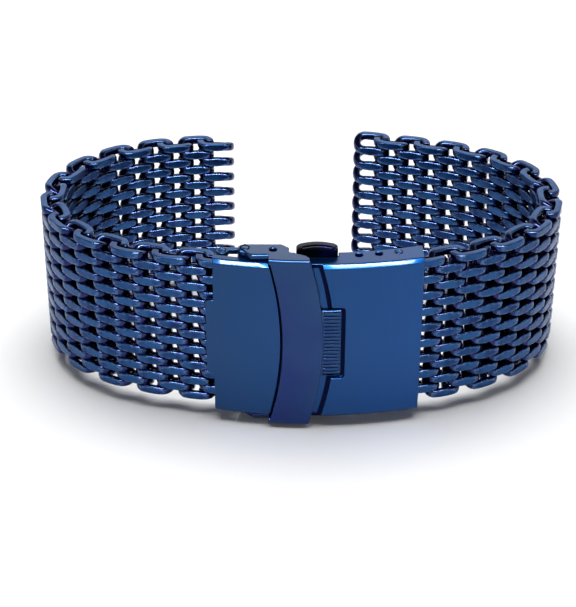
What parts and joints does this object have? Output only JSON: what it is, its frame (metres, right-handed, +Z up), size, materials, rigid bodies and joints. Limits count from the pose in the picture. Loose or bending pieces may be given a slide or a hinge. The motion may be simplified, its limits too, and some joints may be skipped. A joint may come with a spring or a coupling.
{
  "type": "watch bracelet",
  "caption": "Shark mesh watch bracelet of interlinked flattened wire coils, with a fold-over clasp, push buttons and a safety bar, standing on its edge, closed.",
  "frame": {"origin": "middle of the closed bracelet's box, on the surface it stands on", "axes": "+X to the right as the clasp is faced, +Y from the clasp to the watch end, +Z up, across the band"},
  "size_m": [0.0706, 0.0404, 0.0263],
  "materials": {
    "mesh_blue": "satin blue plated steel",
    "cover_blue": "satin blue plated steel",
    "bar_blue": "satin blue plated steel",
    "button_dark": "dark satin steel",
    "pin_steel": "satin blue plated steel"
  },
  "bodies": {
    "cover": {"cover": "cover_blue", "hinge_pins": "pin_steel", "spring_bar_right": "pin_steel"},
    "safety_bar": {"safety_bar": "bar_blue"},
    "button_top": {"button_top": "button_dark"},
    "button_bottom": {"button_bottom": "button_dark"},
    "blade_inner": {"blade_inner": "cover_blue"},
    "blade_outer": {"blade_outer": "cover_blue", "catch": "cover_blue", "blade_pin": "pin_steel", "spring_bar_left": "pin_steel"},
    "link_right_01": {"link_right_01": "mesh_blue"},
    "link_right_02": {"link_right_02": "mesh_blue"},
    "link_right_03": {"link_right_03": "mesh_blue"},
    "link_right_04": {"link_right_04": "mesh_blue"},
    "link_right_05": {"link_right_05": "mesh_blue"},
    "link_right_06": {"link_right_06": "mesh_blue"},
    "link_right_07": {"link_right_07": "mesh_blue"},
    "link_right_08": {"link_right_08": "mesh_blue"},
    "link_right_09": {"link_right_09": "mesh_blue"},
    "link_right_10": {"link_right_10": "mesh_blue"},
    "link_right_11": {"link_right_11": "mesh_blue"},
    "link_right_12": {"link_right_12": "mesh_blue"},
    "link_right_13": {"link_right_13": "mesh_blue"},
    "link_right_14": {"link_right_14": "mesh_blue"},
    "link_right_15": {"link_right_15": "mesh_blue"},
    "link_right_16": {"link_right_16": "mesh_blue"},
    "link_right_17": {"link_right_17": "mesh_blue"},
    "link_right_18": {"link_right_18": "mesh_blue"},
    "link_right_19": {"link_right_19": "mesh_blue"},
    "link_right_20": {"link_right_20": "mesh_blue"},
    "link_right_21": {"link_right_21": "mesh_blue"},
    "link_right_22": {"link_right_22": "mesh_blue"},
    "link_left_01": {"link_left_01": "mesh_blue"},
    "link_left_02": {"link_left_02": "mesh_blue"},
    "link_left_03": {"link_left_03": "mesh_blue"},
    "link_left_04": {"link_left_04": "mesh_blue"},
    "link_left_05": {"link_left_05": "mesh_blue"},
    "link_left_06": {"link_left_06": "mesh_blue"},
    "link_left_07": {"link_left_07": "mesh_blue"},
    "link_left_08": {"link_left_08": "mesh_blue"},
    "link_left_09": {"link_left_09": "mesh_blue"},
    "link_left_10": {"link_left_10": "mesh_blue"},
    "link_left_11": {"link_left_11": "mesh_blue"},
    "link_left_12": {"link_left_12": "mesh_blue"},
    "link_left_13": {"link_left_13": "mesh_blue"},
    "link_left_14": {"link_left_14": "mesh_blue"},
    "link_left_15": {"link_left_15": "mesh_blue"},
    "link_left_16": {"link_left_16": "mesh_blue"},
    "link_left_17": {"link_left_17": "mesh_blue"},
    "link_left_18": {"link_left_18": "mesh_blue"},
    "link_left_19": {"link_left_19": "mesh_blue"},
    "link_left_20": {"link_left_20": "mesh_blue"},
    "link_left_21": {"link_left_21": "mesh_blue"},
    "link_left_22": {"link_left_22": "mesh_blue"}
  },
  "joints": [
    {"name": "safety_bar_hinge", "type": "hinge", "parent": "cover", "child": "safety_bar", "pos_m": [-0.00752, -0.0166, 0.01315], "axis": [0, 0, 1], "range_deg": [-90, 0]},
    {"name": "blade_inner_hinge", "type": "hinge", "parent": "cover", "child": "blade_inner", "pos_m": [-0.00752, -0.0166, 0.01315], "axis": [0, 0, 1], "range_deg": [0, 175]},
    {"name": "blade_outer_hinge", "type": "hinge", "parent": "blade_inner", "child": "blade_outer", "pos_m": [0.01308, -0.01326, 0.01315], "axis": [0, 0, 1], "range_deg": [-175, 0]},
    {"name": "button_top_press", "type": "slide", "parent": "cover", "child": "button_top", "axis": [0, 0, -1], "range_m": [0, 0.0006], "stiffness_N_per_m": 1500},
    {"name": "button_bottom_press", "type": "slide", "parent": "cover", "child": "button_bottom", "axis": [0, 0, 1], "range_m": [0, 0.0006], "stiffness_N_per_m": 1500},
    {"name": "bar_hinge_right", "type": "hinge", "parent": "cover", "child": "link_right_01", "pos_m": [0.01205, -0.01627, 0.01315], "axis": [0, 0, 1], "range_deg": [-0.5, 2]},
    {"name": "mesh_hinge_right_01", "type": "hinge", "parent": "link_right_01", "child": "link_right_02", "pos_m": [0.0143, -0.01581, 0.01315], "axis": [0, 0, 1], "range_deg": [-4.34, 4]},
    {"name": "mesh_hinge_right_02", "type": "hinge", "parent": "link_right_02", "child": "link_right_03", "pos_m": [0.01712, -0.01512, 0.01315], "axis": [0, 0, 1], "range_deg": [-4.95, 4]},
    {"name": "mesh_hinge_right_03", "type": "hinge", "parent": "link_right_03", "child": "link_right_04", "pos_m": [0.01989, -0.01428, 0.01315], "axis": [0, 0, 1], "range_deg": [-5.98, 4]},
    {"name": "mesh_hinge_right_04", "type": "hinge", "parent": "link_right_04", "child": "link_right_05", "pos_m": [0.02261, -0.01325, 0.01315], "axis": [0, 0, 1], "range_deg": [-7.33, 4]},
    {"name": "mesh_hinge_right_05", "type": "hinge", "parent": "link_right_05", "child": "link_right_06", "pos_m": [0.02521, -0.01198, 0.01315], "axis": [0, 0, 1], "range_deg": [-8.89, 4]},
    {"name": "mesh_hinge_right_06", "type": "hinge", "parent": "link_right_06", "child": "link_right_07", "pos_m": [0.02764, -0.0104, 0.01315], "axis": [0, 0, 1], "range_deg": [-10.51, 4]},
    {"name": "mesh_hinge_right_07", "type": "hinge", "parent": "link_right_07", "child": "link_right_08", "pos_m": [0.02982, -0.00848, 0.01315], "axis": [0, 0, 1], "range_deg": [-12.07, 4]},
    {"name": "mesh_hinge_right_08", "type": "hinge", "parent": "link_right_08", "child": "link_right_09", "pos_m": [0.03162, -0.00621, 0.01315], "axis": [0, 0, 1], "range_deg": [-13.42, 4]},
    {"name": "mesh_hinge_right_09", "type": "hinge", "parent": "link_right_09", "child": "link_right_10", "pos_m": [0.03294, -0.00362, 0.01315], "axis": [0, 0, 1], "range_deg": [-14.45, 4]},
    {"name": "mesh_hinge_right_10", "type": "hinge", "parent": "link_right_10", "child": "link_right_11", "pos_m": [0.03367, -0.00082, 0.01315], "axis": [0, 0, 1], "range_deg": [-15.06, 4]},
    {"name": "mesh_hinge_right_11", "type": "hinge", "parent": "link_right_11", "child": "link_right_12", "pos_m": [0.03374, 0.00208, 0.01315], "axis": [0, 0, 1], "range_deg": [-15.2, 4]},
    {"name": "mesh_hinge_right_12", "type": "hinge", "parent": "link_right_12", "child": "link_right_13", "pos_m": [0.03315, 0.00492, 0.01315], "axis": [0, 0, 1], "range_deg": [-14.84, 4]},
    {"name": "mesh_hinge_right_13", "type": "hinge", "parent": "link_right_13", "child": "link_right_14", "pos_m": [0.03195, 0.00756, 0.01315], "axis": [0, 0, 1], "range_deg": [-14.01, 4]},
    {"name": "mesh_hinge_right_14", "type": "hinge", "parent": "link_right_14", "child": "link_right_15", "pos_m": [0.03022, 0.00989, 0.01315], "axis": [0, 0, 1], "range_deg": [-12.77, 4]},
    {"name": "mesh_hinge_right_15", "type": "hinge", "parent": "link_right_15", "child": "link_right_16", "pos_m": [0.02809, 0.01185, 0.01315], "axis": [0, 0, 1], "range_deg": [-11.2, 4]},
    {"name": "mesh_hinge_right_16", "type": "hinge", "parent": "link_right_16", "child": "link_right_17", "pos_m": [0.02567, 0.01345, 0.01315], "axis": [0, 0, 1], "range_deg": [-9.42, 4]},
    {"name": "mesh_hinge_right_17", "type": "hinge", "parent": "link_right_17", "child": "link_right_18", "pos_m": [0.02306, 0.01473, 0.01315], "axis": [0, 0, 1], "range_deg": [-7.58, 4]},
    {"name": "mesh_hinge_right_18", "type": "hinge", "parent": "link_right_18", "child": "link_right_19", "pos_m": [0.02035, 0.01574, 0.01315], "axis": [0, 0, 1], "range_deg": [-5.8, 4]},
    {"name": "mesh_hinge_right_19", "type": "hinge", "parent": "link_right_19", "child": "link_right_20", "pos_m": [0.01757, 0.01657, 0.01315], "axis": [0, 0, 1], "range_deg": [-4.23, 4]},
    {"name": "mesh_hinge_right_20", "type": "hinge", "parent": "link_right_20", "child": "link_right_21", "pos_m": [0.01476, 0.0173, 0.01315], "axis": [0, 0, 1], "range_deg": [-2.99, 4]},
    {"name": "mesh_hinge_right_21", "type": "hinge", "parent": "link_right_21", "child": "link_right_22", "pos_m": [0.01194, 0.01797, 0.01315], "axis": [0, 0, 1], "range_deg": [-2.16, 4]},
    {"name": "bar_hinge_left", "type": "hinge", "parent": "blade_outer", "child": "link_left_01", "pos_m": [-0.01042, -0.0156, 0.01315], "axis": [0, 0, -1], "range_deg": [-6, 10]},
    {"name": "mesh_hinge_left_01", "type": "hinge", "parent": "link_left_01", "child": "link_left_02", "pos_m": [-0.0127, -0.01528, 0.01315], "axis": [0, 0, -1], "range_deg": [-4.2, 4]},
    {"name": "mesh_hinge_left_02", "type": "hinge", "parent": "link_left_02", "child": "link_left_03", "pos_m": [-0.01555, -0.01477, 0.01315], "axis": [0, 0, -1], "range_deg": [-4.88, 4]},
    {"name": "mesh_hinge_left_03", "type": "hinge", "parent": "link_left_03", "child": "link_left_04", "pos_m": [-0.01838, -0.01411, 0.01315], "axis": [0, 0, -1], "range_deg": [-5.89, 4]},
    {"name": "mesh_hinge_left_04", "type": "hinge", "parent": "link_left_04", "child": "link_left_05", "pos_m": [-0.02115, -0.01327, 0.01315], "axis": [0, 0, -1], "range_deg": [-7.16, 4]},
    {"name": "mesh_hinge_left_05", "type": "hinge", "parent": "link_left_05", "child": "link_left_06", "pos_m": [-0.02384, -0.01217, 0.01315], "axis": [0, 0, -1], "range_deg": [-8.6, 4]},
    {"name": "mesh_hinge_left_06", "type": "hinge", "parent": "link_left_06", "child": "link_left_07", "pos_m": [-0.02638, -0.01078, 0.01315], "axis": [0, 0, -1], "range_deg": [-10.1, 4]},
    {"name": "mesh_hinge_left_07", "type": "hinge", "parent": "link_left_07", "child": "link_left_08", "pos_m": [-0.0287, -0.00904, 0.01315], "axis": [0, 0, -1], "range_deg": [-11.54, 4]},
    {"name": "mesh_hinge_left_08", "type": "hinge", "parent": "link_left_08", "child": "link_left_09", "pos_m": [-0.0307, -0.00694, 0.01315], "axis": [0, 0, -1], "range_deg": [-12.81, 4]},
    {"name": "mesh_hinge_left_09", "type": "hinge", "parent": "link_left_09", "child": "link_left_10", "pos_m": [-0.03227, -0.00451, 0.01315], "axis": [0, 0, -1], "range_deg": [-13.82, 4]},
    {"name": "mesh_hinge_left_10", "type": "hinge", "parent": "link_left_10", "child": "link_left_11", "pos_m": [-0.03331, -0.0018, 0.01315], "axis": [0, 0, -1], "range_deg": [-14.5, 4]},
    {"name": "mesh_hinge_left_11", "type": "hinge", "parent": "link_left_11", "child": "link_left_12", "pos_m": [-0.03374, 0.00107, 0.01315], "axis": [0, 0, -1], "range_deg": [-14.8, 4]},
    {"name": "mesh_hinge_left_12", "type": "hinge", "parent": "link_left_12", "child": "link_left_13", "pos_m": [-0.03352, 0.00396, 0.01315], "axis": [0, 0, -1], "range_deg": [-14.7, 4]},
    {"name": "mesh_hinge_left_13", "type": "hinge", "parent": "link_left_13", "child": "link_left_14", "pos_m": [-0.03268, 0.00673, 0.01315], "axis": [0, 0, -1], "range_deg": [-14.22, 4]},
    {"name": "mesh_hinge_left_14", "type": "hinge", "parent": "link_left_14", "child": "link_left_15", "pos_m": [-0.03126, 0.00927, 0.01315], "axis": [0, 0, -1], "range_deg": [-13.41, 4]},
    {"name": "mesh_hinge_left_15", "type": "hinge", "parent": "link_left_15", "child": "link_left_16", "pos_m": [-0.02937, 0.01147, 0.01315], "axis": [0, 0, -1], "range_deg": [-12.34, 4]},
    {"name": "mesh_hinge_left_16", "type": "hinge", "parent": "link_left_16", "child": "link_left_17", "pos_m": [-0.02712, 0.01329, 0.01315], "axis": [0, 0, -1], "range_deg": [-11.1, 4]},
    {"name": "mesh_hinge_left_17", "type": "hinge", "parent": "link_left_17", "child": "link_left_18", "pos_m": [-0.02461, 0.01474, 0.01315], "axis": [0, 0, -1], "range_deg": [-9.8, 4]},
    {"name": "mesh_hinge_left_18", "type": "hinge", "parent": "link_left_18", "child": "link_left_19", "pos_m": [-0.02192, 0.01583, 0.01315], "axis": [0, 0, -1], "range_deg": [-8.56, 4]},
    {"name": "mesh_hinge_left_19", "type": "hinge", "parent": "link_left_19", "child": "link_left_20", "pos_m": [-0.01913, 0.01661, 0.01315], "axis": [0, 0, -1], "range_deg": [-7.49, 4]},
    {"name": "mesh_hinge_left_20", "type": "hinge", "parent": "link_left_20", "child": "link_left_21", "pos_m": [-0.01627, 0.01712, 0.01315], "axis": [0, 0, -1], "range_deg": [-6.68, 4]},
    {"name": "mesh_hinge_left_21", "type": "hinge", "parent": "link_left_21", "child": "link_left_22", "pos_m": [-0.01338, 0.01739, 0.01315], "axis": [0, 0, -1], "range_deg": [-6.2, 4]}
  ],
  "couplings": [
    {"joint": "blade_outer_hinge", "follows": "blade_inner_hinge", "ratio": -1}
  ]
}
